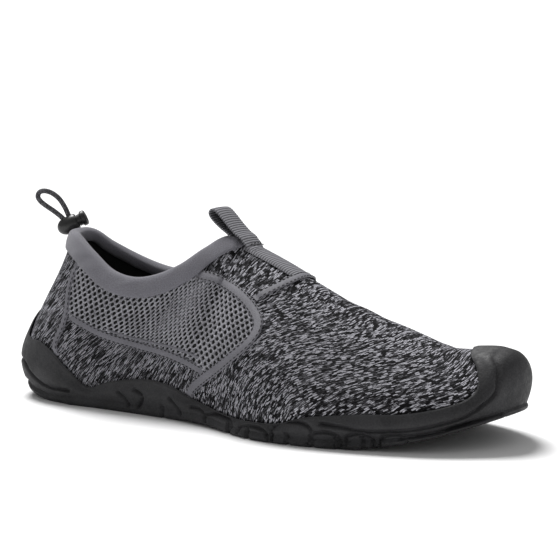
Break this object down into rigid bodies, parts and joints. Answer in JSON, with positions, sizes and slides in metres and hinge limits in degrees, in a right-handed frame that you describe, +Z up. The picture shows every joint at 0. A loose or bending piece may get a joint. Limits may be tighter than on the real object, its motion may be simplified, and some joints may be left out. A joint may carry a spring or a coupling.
{
  "type": "water shoe",
  "caption": "Slip-on water shoe for the right foot, with a knit upper, a bound collar, a pull loop, a heel drawcord with a lock, and a moulded rubber cup sole",
  "frame": {"origin": "middle of the heel's flat contact patch, on the floor", "axes": "+X towards the toe, +Y towards the medial side, +Z up"},
  "size_m": [0.279, 0.102, 0.1038],
  "materials": {
    "rubber": "matte moulded rubber",
    "insole_foam": "cloth-covered foam",
    "knit": "heather knit",
    "binding_cloth": "smooth padded stretch cloth",
    "tape_cloth": "smooth tape, stitched at both edges",
    "spacer_mesh": "open spacer mesh",
    "webbing": "ribbed webbing",
    "lock_plastic": "satin moulded plastic",
    "cord_braid": "braided elastic cord"
  },
  "bodies": {
    "shoe": {"outsole": "rubber", "insole": "insole_foam", "upper": "knit", "collar_binding": "binding_cloth", "quarter_tape_lateral": "tape_cloth", "quarter_tape_medial": "tape_cloth", "lower_tape_lateral": "tape_cloth", "lower_tape_medial": "tape_cloth", "heel_tape_lateral": "tape_cloth", "heel_tape_medial": "tape_cloth", "instep_tape": "tape_cloth", "mesh_panel_lateral": "spacer_mesh", "mesh_panel_medial": "spacer_mesh", "webbing_tail": "webbing", "pull_loop": "webbing", "lock_barrel": "lock_plastic", "drawcord": "cord_braid"},
    "plunger": {"lock_plunger": "lock_plastic"}
  },
  "joints": [
    {"name": "plunger_press", "type": "slide", "parent": "shoe", "child": "plunger", "axis": [-0.751, -0.5007, -0.4306], "range_m": [0, 0.002], "stiffness_N_per_m": 400, "springref_m": -0.003}
  ]
}
